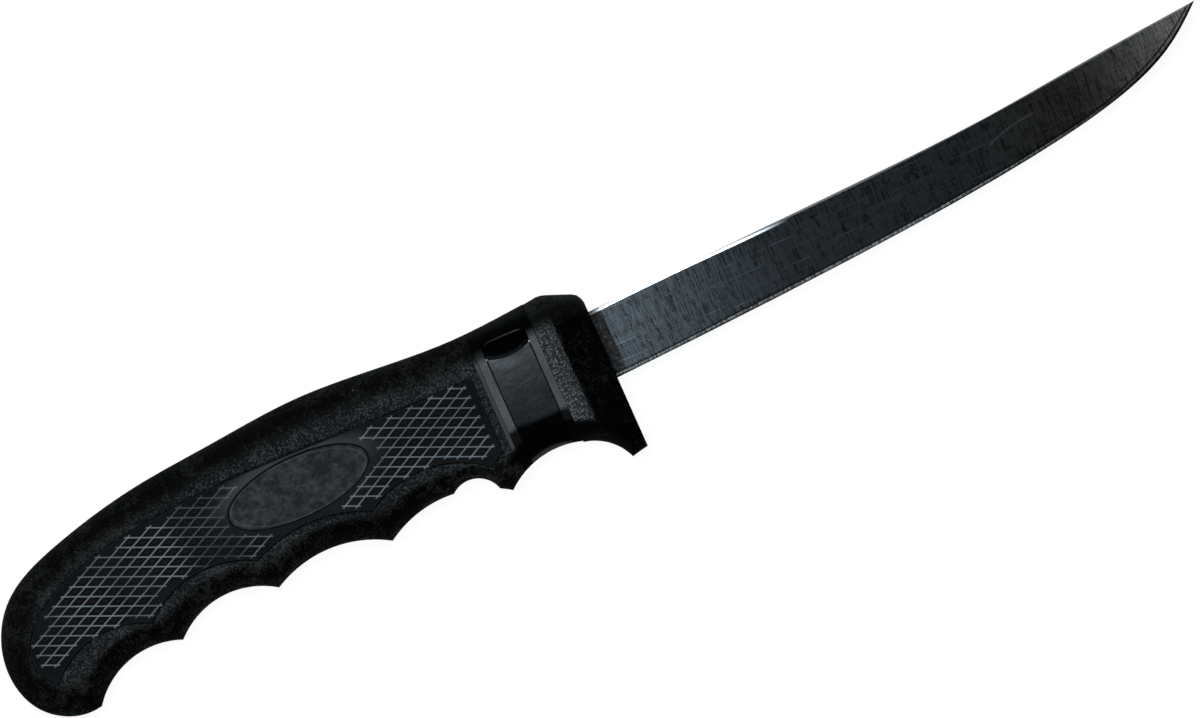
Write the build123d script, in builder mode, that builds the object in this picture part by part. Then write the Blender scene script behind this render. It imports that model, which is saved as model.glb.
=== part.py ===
from build123d import *
from math import atan, degrees
import os

# A fillet knife with a blade that slides out of a rubber handle and is held by a cam lever at the neck.
# It lies on its side. X runs along the blade to the tip, Y towards the spine, Z up to the lever's side.
# The guard's front face is at X = 0, and sketches are drawn about the blade's own middle line.

# Driving sizes
blade_reach = 152.4
blade_travel = 76.2
blade_width = 16.1
blade_thickness = 1.1
spine_height = 7.6
handle_length = 151.5
half_thickness = 10.5
base_to_blade_line = 6.0

# Handle form: an outline with a round back, one round groove in the belly for each finger, and a
# tighter hollow behind the first ridge
back_rounding = 8.5
belly_depth = 5.5
skin = 2.6
cut_margin = 2.0
moved_stations = 48
back_points = [
    (7.1, 16.4),
    (-11.9, 15.2),
    (-30.9, 14.2),
    (-67.8, 16.5),
    (-89.9, 14.9),
    (-107.8, 13.2),
    (-129.9, 8.4),
]
pommel_points = [(-145.6, 0.6), (-151.5, -11.8), (-148, -24.3), (-138.9, -29), (-125.9, -25.6)]
ridge_points = [(-112.8, -22.9), (-88.5, -21), (-61, -21.7), (-31.6, -22.3), (7.1, -26)]
neck_groove = ((-18.9, -36.8), 19.4)
grip_grooves = [
    ((-46.7, -43.5), 26.2),
    ((-75.3, -44.3), 27.0),
    ((-99.4, -36.4), 19.2),
    ((-120.2, -40.1), 19.0),
]
ridge_hollow = ((-40.1, -22.2), 6.2)
hollow_depth = 3.2

# Neck: the bare core between the grip's lip and the guard's back, with the lever let into it
grip_end = -27.3
neck_start = -27.2
neck_end = -12.9
lever_back = -25.0
lever_front = -14.9
lever_wall = 2.3
side_gap = 0.3
lip_height = 0.8

# Lever hinge, cam, and the springy leaf that the cam presses onto the blade
pin_y = 6.9
pin_z = 7.4
pin_radius = 1.0
running_gap = 0.05
knuckle_radius = 3.0
trough_radius = 4.0
cam_throw = 0.5
cam_back = -23.2
cam_front = -16.7
leaf_gap = 0.05
leaf_back = -24.6
leaf_front = -15.3
leaf_low = -4.5
leaf_high = 9.6
leaf_top = 1.7
leaf_pad_low = 5.2
leaf_pocket_top = 1.8
pad_play = 0.2
pad_pocket_top = 4.4

# Blade outline beyond the guard, its ground edge, the tang, and the channel that they slide in
spine_points = [(41, 8.8), (76, 9.9), (101, 11.3), (121, 13.3), (blade_reach, 16.1)]
spine_tangents = [(1, 0.01), (1, 0.08)]
edge_points = [(41, -6.6), (81, -3.8), (111, -0.3), (131, 3.9), (145, 10.2), (blade_reach, 16.1)]
edge_tangents = [(1, 0.04), (1, 0.9)]
bevel_width = 0.9
edge_thickness = 0.1
taper_start = 60.0
tip_thickness = 0.7
stock_margin = 5.0
tang_length = 115.0
channel_gap = 0.1
stop_start = -116.5
stop_end = -104.0
stop_width = 12.0
stop_half = 3.0
stop_rounding = 1.0
stop_gap = 0.3
rivet_radius = 1.2
rivet_station = -109.5
rivet_spacing = 7.0
rivet_gap = 0.03

# Guard: its sections as station, top, bottom, half thickness and top rounding
guard_back = -12.8
guard_sections = [
    (guard_back, 15.0, -28.0, 10.5, 8.5),
    (-9.5, 15.4, -27.2, 10.5, 8.5),
    (-8.4, 15.3, -27.0, 10.4, 8.4),
    (-7.4, 15.0, -26.8, 10.12, 8.2),
    (-2.0, 12.8, -25.6, 8.45, 7.0),
    (-0.9, 12.1, -25.4, 7.95, 6.6),
    (-0.3, 11.1, -25.3, 7.5, 6.3),
    (0, 10.0, -25.2, 7.0, 6.0),
]
guard_toe_rounding = 4.0
guard_groove = ((-15.2, -30.4), 12.0)
nose_width = 20.4
nose_half = 4.4
nose_middle = -0.8
nose_rounding = 2.0

# Side panels and the oval plates let into them
panel_seat = 1.2
panel_sink = 0.2
seam = 0.35
panel_front = -30.1
panel_top = [
    (-25, 4.9),
    (-59, 5.3),
    (-88.5, 6.1),
    (-109, 4.9),
    (-129, 1.1),
    (-139, -4.1),
    (-145.2, -12.2),
    (-142.2, -20.4),
]
panel_scoops = [
    ((-18.9, -36.8), 26.0),
    ((-49.2, -33.2), 23.5),
    ((-76.5, -42.2), 32.0),
    ((-101.5, -33.2), 23.0),
    ((-127, -34.1), 20.2),
]
oval_place = (-75.1, -1.9)
oval_length = 33.8
oval_height = 13.2
oval_tilt = 2
oval_seat = 0.8
oval_gap = 0.05
oval_lip = 0.6
oval_sink = 0.3

# Screws that hold the two halves of the core together, with their heads in the hidden half
screw_places = [(-52, 9.6), (-84, 9.9), (-33.5, -11.6), (-59.3, -11.9), (-87.1, -12.2), (-131, -10)]
screw_radius = 1.0
screw_head_radius = 1.9
screw_head_height = 1.3
screw_seat = 3.2
screw_reach = 4.8

# The knife's middle plane seen from the side, seen along the blade, and seen from the spine
middle = (0, base_to_blade_line, half_thickness)
side = Plane(middle)
cross = Plane(middle, x_dir=(0, 1, 0), z_dir=(1, 0, 0))
plan = Plane(middle, x_dir=(1, 0, 0), z_dir=(0, -1, 0))


def finger_spool(groove, inset, depth=belly_depth):
    """The round hollow that one finger leaves: a wheel with a hollow rim, taken out of the belly."""
    (centre_x, centre_y), radius = groove
    rim = centre_x + radius + depth
    half = half_thickness - inset
    clear = half_thickness + cut_margin
    with BuildPart() as spool:
        with BuildSketch(plan.offset(-centre_y)):
            with BuildLine():
                Polyline((centre_x, -clear), (rim, -clear), (rim, -half))
                EllipticalCenterArc((rim, 0), depth - inset, half, start_angle=270, arc_size=-180)
                Polyline((rim, half), (rim, clear), (centre_x, clear), (centre_x, -clear))
            make_face()
        revolve(axis=Axis((centre_x, base_to_blade_line + centre_y, 0), (0, 0, 1)))
    return spool.part


def moved_points(points, distance, turn):
    """A spline's points, or even stations along it moved by distance, square to its run."""
    if not distance:
        return points
    curve = Spline(*points)
    stations = [index / moved_stations for index in range(moved_stations + 1)]
    return [curve @ at + (curve % at).rotate(Axis.Z, turn) * distance for at in stations]


def handle_form(inset):
    """The handle's outside, drawn in by inset: flat flanks, a round back and a scooped belly."""
    half = half_thickness - inset
    outline_points = moved_points([*back_points, *pommel_points, *ridge_points], inset, 90)
    spools = [finger_spool(groove, inset) for groove in [neck_groove, *grip_grooves]]
    spools.append(finger_spool(ridge_hollow, inset, hollow_depth))
    with BuildPart() as form:
        with BuildSketch(side.offset(-half)):
            with BuildLine():
                outline = Spline(*outline_points)
                Line(outline @ 1, outline @ 0)
            make_face()
        extrude(amount=2 * half)
        rims = [flank.edges().sort_by(SortBy.LENGTH)[-1] for flank in form.faces().filter_by(Axis.Z)]
        fillet(rims, radius=back_rounding - inset)
        for spool in spools:
            add(spool, mode=Mode.SUBTRACT)
    return form.part


def slab(start, end):
    """Everything between two stations along the knife."""
    reach = handle_length
    with BuildPart() as piece:
        with BuildSketch(cross.offset(start)):
            Rectangle(reach, reach)
        extrude(amount=end - start)
    return piece.part


def below_pin(lowest):
    """Everything on the lever's side from the hinge pin down round the belly."""
    reach = handle_length
    with BuildPart() as piece:
        with BuildSketch(cross.offset(grip_end)):
            with Locations((pin_y, lowest)):
                Rectangle(reach, reach, align=(Align.MAX, Align.MIN))
        extrude(amount=guard_back - grip_end)
    return piece.part


def panel_blank(sign, grow):
    """A side panel's outline, grown by grow: its lower edge is scooped above each finger groove."""
    level = half_thickness - panel_seat if sign > 0 else -half_thickness
    top_points = moved_points(panel_top, grow, -90)
    with BuildPart() as piece:
        with BuildSketch(side.offset(level)):
            with BuildLine():
                top = Spline(*top_points)
                Polyline(top @ 1, ((top @ 0).X, (top @ 1).Y), top @ 0)
            make_face()
            for centre, radius in panel_scoops:
                with Locations(centre):
                    Circle(radius - grow, mode=Mode.SUBTRACT)
            with Locations((panel_front + grow, 0)):
                Rectangle(handle_length, handle_length, align=(Align.MIN, Align.CENTER), mode=Mode.SUBTRACT)
        extrude(amount=panel_seat)
    return piece.part


outer_form = handle_form(0)
core_form = handle_form(skin)
lever_inside = handle_form(lever_wall)
guard_spool = finger_spool(guard_groove, 0)

# The neck's bare band, flush with the grip and the guard
with BuildPart() as neck_band:
    add(outer_form)
    add(slab(neck_start, neck_end), mode=Mode.INTERSECT)


# Blade: a flat strip with a straight tang and a swept tip, ground to an edge along the belly side
tang_low = spine_height - blade_width
half_blade = blade_thickness / 2
half_edge = edge_thickness / 2
with BuildPart() as ground_stock:
    with BuildSketch(side.offset(half_edge)) as stock_outline:
        with BuildLine():
            tang_edge = Line((-tang_length - stock_margin, tang_low), (0, tang_low))
            swept_edge = Spline((0, tang_low), *edge_points, tangents=edge_tangents)
            past_tip = Line(swept_edge @ 1, (swept_edge @ 1) + (swept_edge % 1) * stock_margin)
            Polyline(
                past_tip @ 1,
                ((past_tip @ 1).X, tang_low + blade_reach),
                (-tang_length - stock_margin, tang_low + blade_reach),
                tang_edge @ 0,
            )
        make_face()
    bevel_run = half_blade - half_edge
    extrude(amount=bevel_run, taper=degrees(atan(bevel_width / bevel_run)))
    extrude(stock_outline.sketch, amount=-half_edge)
    mirror(about=side)

with BuildPart() as blade:
    with BuildSketch(side.offset(-half_blade)):
        with BuildLine():
            spine = Spline((0, spine_height), *spine_points, tangents=spine_tangents)
            edge = Spline((0, tang_low), *edge_points, tangents=edge_tangents)
            Polyline(spine @ 0, (-tang_length, spine_height), (-tang_length, tang_low), edge @ 0)
        make_face()
    extrude(amount=blade_thickness)
    add(ground_stock.part, mode=Mode.INTERSECT)
    with BuildSketch(plan.offset(-handle_length / 2)):
        for sign in (1, -1):
            with BuildLine():
                Polyline(
                    (taper_start, sign * half_blade),
                    (blade_reach + cut_margin, sign * tip_thickness / 2),
                    (blade_reach + cut_margin, sign * blade_thickness),
                    (taper_start, sign * blade_thickness),
                    close=True,
                )
            make_face()
    extrude(amount=handle_length, mode=Mode.SUBTRACT)
    with BuildSketch(side.offset(-blade_thickness)):
        with Locations((rivet_station, 0)):
            with GridLocations(0, rivet_spacing, 1, 2):
                Circle(rivet_radius + rivet_gap)
    extrude(amount=2 * blade_thickness, mode=Mode.SUBTRACT)


# Tang stop: a saddle riveted over the end of the tang, which meets the two ends of its channel
with BuildPart() as tang_stop:
    with BuildSketch(side.offset(-stop_half)):
        with Locations((stop_start, 0)):
            Rectangle(stop_end - stop_start, stop_width, align=(Align.MIN, Align.CENTER))
    extrude(amount=2 * stop_half)
    fillet(tang_stop.edges().filter_by(Axis.Z), radius=stop_rounding)
    with BuildSketch(side.offset(-blade_thickness / 2)):
        with Locations((-tang_length, 0)):
            Rectangle(tang_length, 2 * blade_width, align=(Align.MIN, Align.CENTER))
    extrude(amount=blade_thickness, mode=Mode.SUBTRACT)
    with BuildSketch(side.offset(-stop_half)):
        with Locations((rivet_station, 0)):
            with GridLocations(0, rivet_spacing, 1, 2):
                Circle(rivet_radius + rivet_gap)
    extrude(amount=2 * stop_half, mode=Mode.SUBTRACT)

with BuildPart() as tang_rivets:
    with BuildSketch(side.offset(-stop_half)):
        with Locations((rivet_station, 0)):
            with GridLocations(0, rivet_spacing, 1, 2):
                Circle(rivet_radius)
    extrude(amount=2 * stop_half)


# Core: a hard body around the blade channel, bare at the neck and the nose, split into two halves
with BuildPart() as core:
    add(core_form)
    add(slab(-handle_length, guard_back), mode=Mode.INTERSECT)
    add(neck_band.part)
    with BuildSketch(cross.offset(guard_back)):
        with Locations((nose_middle, 0)):
            RectangleRounded(nose_width, 2 * nose_half, nose_rounding)
    extrude(amount=-guard_back)
    with BuildSketch(cross.offset(-tang_length - stop_gap)):
        with Locations((spine_height - blade_width / 2, 0)):
            Rectangle(blade_width + 2 * channel_gap, blade_thickness + 2 * channel_gap)
    extrude(amount=tang_length + stop_gap, mode=Mode.SUBTRACT)
    with BuildSketch(cross.offset(stop_start - stop_gap)):
        Rectangle(stop_width + 2 * channel_gap, 2 * (stop_half + channel_gap))
    extrude(amount=stop_end - stop_start + blade_travel + 2 * stop_gap, mode=Mode.SUBTRACT)

with BuildPart() as lever_pocket:
    add(neck_band.part)
    add(core_form, mode=Mode.SUBTRACT)
    add(slab(lever_back - side_gap, lever_front + side_gap), mode=Mode.INTERSECT)
    add(below_pin(lip_height - side_gap), mode=Mode.INTERSECT)

with BuildPart() as core_right:
    add(core.part)
    split(bisect_by=side, keep=Keep.TOP)
    add(lever_pocket.part, mode=Mode.SUBTRACT)
    with BuildSketch(cross.offset(lever_back - side_gap)):
        with Locations((pin_y, pin_z)):
            Circle(trough_radius)
    extrude(amount=lever_front - lever_back + 2 * side_gap, mode=Mode.SUBTRACT)
    with BuildSketch(cross.offset(neck_start)):
        with Locations((pin_y, pin_z)):
            Circle(pin_radius)
    extrude(amount=neck_end - neck_start, mode=Mode.SUBTRACT)
    with BuildSketch(side):
        with Locations((leaf_back - leaf_gap, leaf_low - leaf_gap)):
            Rectangle(
                leaf_front - leaf_back + 2 * leaf_gap,
                leaf_high - leaf_low + 2 * leaf_gap,
                align=(Align.MIN, Align.MIN),
            )
    extrude(amount=leaf_pocket_top, mode=Mode.SUBTRACT)
    with BuildSketch(side):
        with Locations((cam_back - pad_play, leaf_pad_low - pad_play)):
            Rectangle(
                cam_front - cam_back + 2 * pad_play,
                leaf_high - leaf_pad_low + 2 * pad_play,
                align=(Align.MIN, Align.MIN),
            )
    extrude(amount=pad_pocket_top, mode=Mode.SUBTRACT)
    with BuildSketch(side):
        with Locations(*screw_places):
            Circle(screw_radius)
    extrude(amount=screw_reach, mode=Mode.SUBTRACT)

with BuildPart() as core_left:
    add(core.part)
    split(bisect_by=side, keep=Keep.BOTTOM)
    with BuildSketch(side.offset(-half_thickness)):
        with Locations(*screw_places):
            Circle(screw_radius + running_gap)
    extrude(amount=half_thickness, mode=Mode.SUBTRACT)
    with BuildSketch(side.offset(-half_thickness)):
        with Locations(*screw_places):
            Circle(screw_head_radius + running_gap)
    extrude(amount=half_thickness - screw_seat, mode=Mode.SUBTRACT)

with BuildPart() as core_screws:
    with BuildSketch(side.offset(-screw_seat - screw_head_height)):
        with Locations(*screw_places):
            Circle(screw_head_radius)
    extrude(amount=screw_head_height)
    with BuildSketch(side.offset(-screw_seat)):
        with Locations(*screw_places):
            Circle(screw_radius)
    extrude(amount=screw_seat + screw_reach - running_gap)


# Lock lever: a plate that wraps the neck, with a knuckle and a cam on its hinge
with BuildPart() as lock_lever:
    add(outer_form)
    add(lever_inside, mode=Mode.SUBTRACT)
    add(slab(lever_back, lever_front), mode=Mode.INTERSECT)
    add(below_pin(lip_height), mode=Mode.INTERSECT)
    with BuildSketch(cross.offset(lever_back)):
        with Locations((pin_y, pin_z)):
            Circle(knuckle_radius)
    extrude(amount=lever_front - lever_back)
    with BuildSketch(cross.offset(cam_back)):
        with Locations((pin_y, pin_z - cam_throw)):
            Circle(knuckle_radius)
    extrude(amount=cam_front - cam_back)
    with BuildSketch(cross.offset(lever_back)):
        with Locations((pin_y, pin_z)):
            Circle(pin_radius + running_gap)
    extrude(amount=lever_front - lever_back, mode=Mode.SUBTRACT)

with BuildPart() as lever_pin:
    with BuildSketch(cross.offset(neck_start)):
        with Locations((pin_y, pin_z)):
            Circle(pin_radius)
    extrude(amount=neck_end - neck_start)

# Clamp leaf: a thin plate beside the blade, let into the core, with a raised pad under the cam
with BuildPart() as clamp_leaf:
    leaf_level = blade_thickness / 2 + leaf_gap
    pad_top = pin_z - cam_throw - knuckle_radius - leaf_gap
    with BuildSketch(side.offset(leaf_level)):
        with Locations((leaf_back, leaf_low)):
            Rectangle(leaf_front - leaf_back, leaf_high - leaf_low, align=(Align.MIN, Align.MIN))
    extrude(amount=leaf_top - leaf_level)
    with BuildSketch(side.offset(leaf_top)):
        with Locations((cam_back, leaf_pad_low)):
            Rectangle(cam_front - cam_back, leaf_high - leaf_pad_low, align=(Align.MIN, Align.MIN))
    extrude(amount=pad_top - leaf_top)


# Rubber grip, moulded over the core, with a seat for a panel in each flank
panel_seats = [panel_blank(sign, seam) for sign in (1, -1)]
with BuildPart() as grip:
    add(outer_form)
    add(slab(-handle_length - cut_margin, grip_end), mode=Mode.INTERSECT)
    add(core_form, mode=Mode.SUBTRACT)
    for seat in panel_seats:
        add(seat, mode=Mode.SUBTRACT)


# Rubber guard, moulded over the core's nose, with a toe that keeps the finger off the edge
with BuildPart() as guard:
    for station, top, bottom, half, top_rounding in guard_sections:
        with BuildSketch(cross.offset(station)) as section:
            with Locations(((top + bottom) / 2, 0)):
                Rectangle(top - bottom, 2 * half)
            fillet(section.vertices().group_by(Axis.Y)[-1], radius=top_rounding)
            fillet(section.vertices().group_by(Axis.Y)[0], radius=guard_toe_rounding)
    loft(ruled=True)
    add(guard_spool, mode=Mode.SUBTRACT)
    with BuildSketch(cross.offset(guard_back)):
        with Locations((nose_middle, 0)):
            RectangleRounded(nose_width, 2 * nose_half, nose_rounding)
    extrude(amount=-guard_back, mode=Mode.SUBTRACT)


# Side panels, each with an oval plate let into it
def side_panel(sign):
    blank = panel_blank(sign, 0)
    level = half_thickness - oval_seat if sign > 0 else -half_thickness
    outside = half_thickness - panel_sink if sign > 0 else -half_thickness
    with BuildPart() as panel:
        add(blank)
        with BuildSketch(side.offset(outside)):
            Rectangle(3 * handle_length, handle_length)
        extrude(amount=panel_sink, mode=Mode.SUBTRACT)
        with BuildSketch(side.offset(level)):
            with Locations(Location(oval_place, oval_tilt)):
                Ellipse(oval_length / 2 + oval_gap, oval_height / 2 + oval_gap)
        extrude(amount=oval_seat, mode=Mode.SUBTRACT)
    return panel.part


def oval_plate(sign):
    level = half_thickness - oval_seat if sign > 0 else -half_thickness
    sunk = half_thickness - oval_sink if sign > 0 else -half_thickness
    with BuildPart() as plate:
        with BuildSketch(side.offset(level)):
            with Locations(Location(oval_place, oval_tilt)):
                Ellipse(oval_length / 2, oval_height / 2)
        extrude(amount=oval_seat)
        with BuildSketch(side.offset(sunk)):
            with Locations(Location(oval_place, oval_tilt)):
                Ellipse(oval_length / 2 - oval_lip, oval_height / 2 - oval_lip)
        extrude(amount=oval_sink, mode=Mode.SUBTRACT)
    return plate.part


os.makedirs("parts", exist_ok=True)

blade.part.label = "blade"
export_step(blade.part, "parts/blade.step")
tang_stop.part.label = "tang_stop"
export_step(tang_stop.part, "parts/tang_stop.step")
tang_rivets.part.label = "tang_rivets"
export_step(tang_rivets.part, "parts/tang_rivets.step")
core_right.part.label = "core_right"
export_step(core_right.part, "parts/core_right.step")
core_left.part.label = "core_left"
export_step(core_left.part, "parts/core_left.step")
core_screws.part.label = "core_screws"
export_step(core_screws.part, "parts/core_screws.step")
lock_lever.part.label = "lock_lever"
export_step(lock_lever.part, "parts/lock_lever.step")
lever_pin.part.label = "lever_pin"
export_step(lever_pin.part, "parts/lever_pin.step")
clamp_leaf.part.label = "clamp_leaf"
export_step(clamp_leaf.part, "parts/clamp_leaf.step")
grip.part.label = "grip"
export_step(grip.part, "parts/grip.step")
guard.part.label = "guard"
export_step(guard.part, "parts/guard.step")
for hand, sign in (("right", 1), ("left", -1)):
    panel = side_panel(sign)
    panel.label = f"side_panel_{hand}"
    export_step(panel, f"parts/side_panel_{hand}.step")
    plate = oval_plate(sign)
    plate.label = f"oval_plate_{hand}"
    export_step(plate, f"parts/oval_plate_{hand}.step")
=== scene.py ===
import math

import bpy
import numpy as np
from mathutils import Matrix, Vector


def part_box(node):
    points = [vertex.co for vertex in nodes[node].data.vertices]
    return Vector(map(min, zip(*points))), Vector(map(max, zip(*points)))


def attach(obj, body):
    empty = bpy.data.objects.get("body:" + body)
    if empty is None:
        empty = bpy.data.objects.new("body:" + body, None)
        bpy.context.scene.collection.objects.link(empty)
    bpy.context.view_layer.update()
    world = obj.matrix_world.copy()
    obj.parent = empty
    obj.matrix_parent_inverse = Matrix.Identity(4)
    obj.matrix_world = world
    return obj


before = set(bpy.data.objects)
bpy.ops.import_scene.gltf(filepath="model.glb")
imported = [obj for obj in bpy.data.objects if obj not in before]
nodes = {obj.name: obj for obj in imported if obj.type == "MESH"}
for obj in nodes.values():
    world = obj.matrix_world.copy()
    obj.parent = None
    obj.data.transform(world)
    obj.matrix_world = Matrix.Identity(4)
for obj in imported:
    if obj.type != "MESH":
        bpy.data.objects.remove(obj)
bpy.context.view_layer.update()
print("frame loaded:", len(nodes), "parts")

mm = 0.001


def boxMiddle(node):
    low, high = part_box(node)
    return (low + high) / 2


# the knife lies on its side: x to the tip, y to the spine, z up out of the right flank
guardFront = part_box("guard")[1].x
gripMiddle = boxMiddle("grip")
leverMiddle = boxMiddle("lock_lever")
ovalMiddle = boxMiddle("oval_plate_right")
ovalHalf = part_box("oval_plate_right")[1] - ovalMiddle
bladeLine = 6 * mm  # y of the blade's own middle line, from which heights are counted


class Wire:
    # one output of a node; arithmetic on wires adds Math nodes to their tree
    def __init__(self, finish, socket):
        self.finish = finish
        self.socket = socket

    def maths(self, operation, *values):
        return self.finish.node("Math", {"operation": operation}, dict(enumerate(values)))

    def __add__(self, other):
        return self.maths("ADD", self, other)

    def __radd__(self, other):
        return self.maths("ADD", other, self)

    def __sub__(self, other):
        return self.maths("SUBTRACT", self, other)

    def __rsub__(self, other):
        return self.maths("SUBTRACT", other, self)

    def __mul__(self, other):
        return self.maths("MULTIPLY", self, other)

    def __rmul__(self, other):
        return self.maths("MULTIPLY", other, self)

    def __truediv__(self, other):
        return self.maths("DIVIDE", self, other)

    def __pow__(self, other):
        return self.maths("POWER", self, other)

    def __abs__(self):
        return self.maths("ABSOLUTE", self)

    def __gt__(self, other):
        return self.maths("GREATER_THAN", self, other)

    def __lt__(self, other):
        return self.maths("LESS_THAN", self, other)

    def least(self, other):
        return self.maths("MINIMUM", self, other)

    def most(self, other):
        return self.maths("MAXIMUM", self, other)

    def ease(self, start, end, low=0.0, high=1.0):
        # low before start, high after end, smooth in between
        return self.finish.node("MapRange", {"interpolation_type": "SMOOTHSTEP"},
                                {0: self, 1: start, 2: end, 3: low, 4: high})


class Finish:
    # a material and its node tree
    socketNames = {
        "colour": "Base Color", "roughness": "Roughness", "metallic": "Metallic", "normal": "Normal",
        "specular": "Specular IOR Level", "coat": "Coat Weight", "coatRoughness": "Coat Roughness",
    }
    dullness = {"Roughness": 0.9, "Specular IOR Level": 0.03}

    def __init__(self, name):
        self.material = bpy.data.materials.new(name)
        self.material.use_nodes = True
        self.tree = self.material.node_tree
        self.tree.nodes.clear()
        self.output = self.tree.nodes.new("ShaderNodeOutputMaterial")
        self.body = self.tree.nodes.new("ShaderNodeBsdfPrincipled")
        self.show(self.bodyWire())

    def node(self, kind, settings=None, inputs=None, out=0):
        made = self.tree.nodes.new("ShaderNode" + kind)
        for key, value in (settings or {}).items():
            setattr(made, key, value)
        for key, value in (inputs or {}).items():
            self.put(made.inputs[key], value)
        return Wire(self, made.outputs[out])

    def put(self, socket, value):
        if isinstance(value, Wire):
            self.tree.links.new(value.socket, socket)
        elif socket.type == "RGBA":
            socket.default_value = (*value, 1.0)
        else:
            socket.default_value = value

    def set(self, **values):
        for key, value in values.items():
            self.put(self.body.inputs[self.socketNames[key]], value)
        return self

    def bodyWire(self):
        return Wire(self, self.body.outputs[0])

    def show(self, shader):
        self.put(self.output.inputs["Surface"], shader)
        return self

    def shade(self, share, level):
        # paints shade: mixes in a matt near-black, for faces that see nothing bright
        dull = self.node("BsdfPrincipled", inputs={"Base Color": grey(level), **self.dullness})
        return self.show(self.node("MixShader", inputs={0: share, 1: self.bodyWire(), 2: dull}))

    def place(self):
        # the piece's own coordinates, which are the frame's
        return self.node("TexCoord", out=3)

    def facing(self):
        # the way the face looks, before any bump
        return self.axes(self.node("NewGeometry", out=1))

    def axes(self, vector):
        apart = self.node("SeparateXYZ", inputs={0: vector}).socket.node
        return [Wire(self, output) for output in apart.outputs]

    def stretched(self, scale, turn=0.0):
        # the piece's own coordinates, turned in its flat plane and scaled
        return self.node("Mapping", {"vector_type": "POINT"}, {0: self.place(), 2: (0, 0, turn), 3: scale})

    def noise(self, scale, detail=3.0, rough=0.5, vector=None, warp=0.0):
        return self.node("TexNoise", {"noise_dimensions": "3D"},
                         {"Vector": vector or self.place(), "Scale": scale, "Detail": detail,
                          "Roughness": rough, "Distortion": warp})

    def cells(self, size, out=0):
        # distance from the middle of the nearest cell, or with out=1 that cell's own colour
        inputs = {"Vector": self.place(), "Scale": 1 / size}
        return self.node("TexVoronoi", {"feature": "F1"}, inputs, out)

    def pebbles(self, size):
        # round cells with crumbs over them: the distance from each one's middle, and the relief
        cell = self.node("TexVoronoi", {"feature": "SMOOTH_F1"},
                         {"Vector": self.place(), "Scale": 1 / size, "Smoothness": 0.3})
        crumb = self.noise(2.1 / size, 2.0, 0.6)
        return cell, cell.ease(0.75, 0.10) * 0.6 + crumb * 0.6

    def painted(self, name):
        # a number that the mesh carries at its points
        return self.node("Attribute", {"attribute_name": name}, out=2)

    def mix(self, share, first, second):
        return self.node("Mix", {"data_type": "RGBA"}, {0: share, 6: first, 7: second}, out=2)

    def tint(self, colour, factors):
        return self.node("VectorMath", {"operation": "MULTIPLY"}, {0: colour, 1: factors})

    def bump(self, height, reflectionScale, strength=1.0, under=None):
        inputs = {"Height": height, "Distance": reflectionScale, "Strength": strength}
        if under is not None:
            inputs["Normal"] = under
        return self.node("Bump", inputs=inputs)


def grey(level, tint=(1.0, 1.0, 1.0)):
    return tuple(level * t for t in tint)


coolTint = (0.90, 1.0, 1.08)
warmTint = (1.0, 1.0, 0.93)

gripLook = {
    "dark": 0.0014,  # clean rubber
    "worn": 0.034,  # rubber whose grain has greyed
    "wornShown": 1.0,  # how far the greyed grain stands out of the shaded faces
    "grain": 0.58 * mm,  # size of one grain of the texture
    "grainDepth": 0.08 * mm,
    "roughness": 0.66,
    "glossyCrowns": 0.36,  # how much smoother the crowns of the grain are
    "specular": 0.20,
    "lipStart": guardFront - 28.1 * mm,  # the grip's smooth front lip starts here
    "lipGloss": 0.20,
    "patchScale": 60,  # wear comes in large patches and small blotches, so many to the metre
    "blotchScale": 300,
    "topLight": 0.0,  # share of painted light on the top of the back, between the two heights in y, laid into the grain
    "topLightLevel": 0.05,
    "topLightHeights": (16.5 * mm, 19.5 * mm),
    "speckLevel": 0.30,
    "speckSpacing": 2.3 * mm,
    "speckRadius": 0.075,  # as a share of the spacing
    "speckShare": 0.07,  # how many of the cells have a speck
    "underTurn": (-0.10, -0.50),  # faces that look this far away from the spine lie in shade
    "underShade": 0.62,
    "frontTurn": (0.30, 0.46),  # and so do faces that look this far to the tip
    "frontStart": (guardFront - 9.2 * mm, guardFront - 8.0 * mm),
    "frontShade": 0.95,
    "ragged": 1.6 * mm,  # how far that shade's border wanders
    "shadeLevel": 0.0007,
}
guardLook = {
    **gripLook,
    "dark": 0.0008, "worn": 0.014, "wornShown": 0.7, "grain": 0.62 * mm, "grainDepth": 0.07 * mm,
    "roughness": 0.58, "glossyCrowns": 0.40, "specular": 0.38, "topLight": 0.7,
    "lipStart": 1.0,  # far ahead of the guard, which has no lip
    "underShade": 0.80, "frontTurn": (0.10, 0.26),
}


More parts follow.
